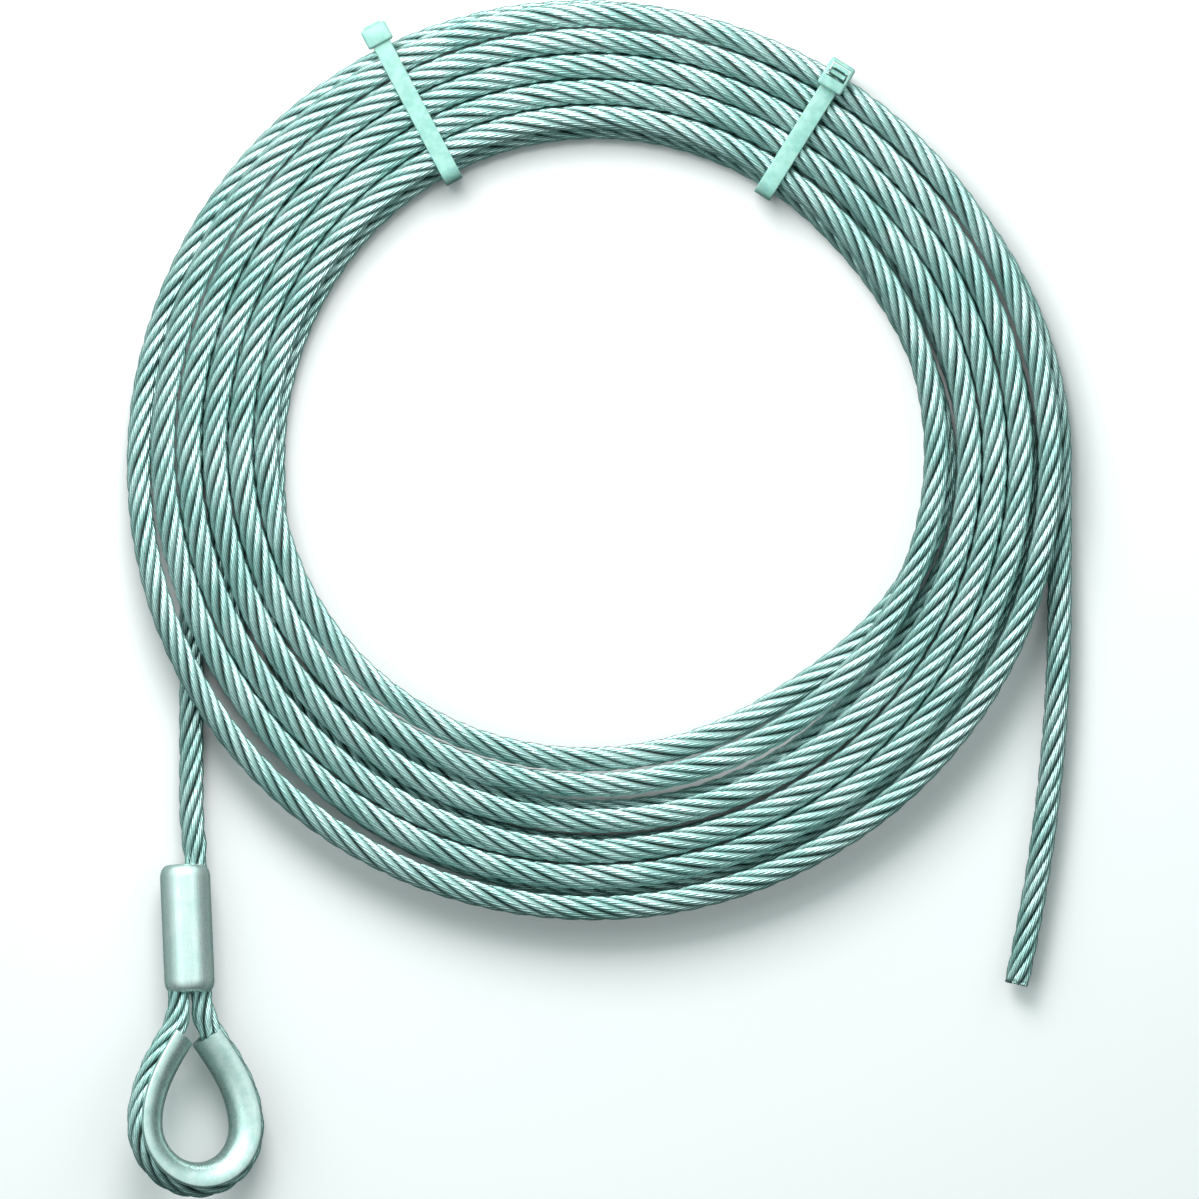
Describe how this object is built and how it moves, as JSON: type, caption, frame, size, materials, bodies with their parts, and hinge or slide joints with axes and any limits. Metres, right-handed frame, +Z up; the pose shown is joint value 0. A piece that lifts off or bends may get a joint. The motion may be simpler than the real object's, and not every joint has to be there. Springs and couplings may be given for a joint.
{
  "type": "wire rope sling",
  "caption": "Coiled six-strand steel wire rope with a ferruled thimble eye at one end, a cut tail at the other, and cable ties round the coil.",
  "frame": {"origin": "middle of the footprint on the floor, level with the undersides of the cable ties", "axes": "+Z up out of the flat coil, +Y away from the eye, +X towards the free tail"},
  "size_m": [0.2362, 0.2989, 0.0244],
  "materials": {
    "wire": "galvanised drawn steel wire, satin, dark in the grooves",
    "core": "oiled fibre core",
    "ferrule": "pressed aluminium, smooth satin",
    "zinc": "bright zinc-plated formed steel",
    "nylon": "translucent natural nylon"
  },
  "bodies": {
    "coil": {"coil_rope": "wire"},
    "leg_link": {"leg_rope": "wire"},
    "eye_end": {"eye_core": "core", "eye_strand_1": "wire", "eye_strand_2": "wire", "eye_strand_3": "wire", "eye_strand_4": "wire", "eye_strand_5": "wire", "eye_strand_6": "wire", "ferrule": "ferrule", "thimble": "zinc"},
    "tail_link": {"tail_rope": "wire"},
    "tail_end": {"tail_core": "core", "tail_strand_1": "wire", "tail_strand_2": "wire", "tail_strand_3": "wire", "tail_strand_4": "wire", "tail_strand_5": "wire", "tail_strand_6": "wire"},
    "left_tie": {"left_tie_strap": "nylon"},
    "left_pawl": {"left_tie_pawl": "nylon"},
    "right_tie": {"right_tie_strap": "nylon"},
    "right_pawl": {"right_tie_pawl": "nylon"}
  },
  "joints": [
    {"name": "leg_swing", "type": "hinge", "parent": "coil", "child": "leg_link", "pos_m": [-0.102, -0.0322, 0.0047], "axis": [0, 0, 1], "range_deg": [-15, 15]},
    {"name": "leg_lift", "type": "hinge", "parent": "leg_link", "child": "eye_end", "pos_m": [-0.102, -0.0502, 0.0058], "axis": [-1, 0, 0], "range_deg": [-15, 20]},
    {"name": "tail_swing", "type": "hinge", "parent": "coil", "child": "tail_link", "pos_m": [0.11485, 0.0038, 0.0047], "axis": [0, 0, 1], "range_deg": [-8, 18]},
    {"name": "tail_lift", "type": "hinge", "parent": "tail_link", "child": "tail_end", "pos_m": [0.11463, -0.0142, 0.0047], "axis": [-1, 0, 0], "range_deg": [-15, 20]},
    {"name": "left_tie_shift", "type": "hinge", "parent": "coil", "child": "left_tie", "pos_m": [0.00005, 0.0358, 0.0079], "axis": [0, 0, 1], "range_deg": [-2, 2]},
    {"name": "right_tie_shift", "type": "hinge", "parent": "coil", "child": "right_tie", "pos_m": [0.00005, 0.0358, 0.0079], "axis": [0, 0, 1], "range_deg": [-2, 2]},
    {"name": "left_pawl_flex", "type": "hinge", "parent": "left_tie", "child": "left_pawl", "pos_m": [-0.05483, 0.13901, 0.01345], "axis": [-0.8829, -0.4695, 0], "range_deg": [0, 8], "stiffness_Nm_per_rad": 0.03},
    {"name": "right_pawl_flex", "type": "hinge", "parent": "right_tie", "child": "right_pawl", "pos_m": [0.05912, 0.13032, 0.01555], "axis": [0.848, -0.5299, 0], "range_deg": [0, 8], "stiffness_Nm_per_rad": 0.03}
  ]
}
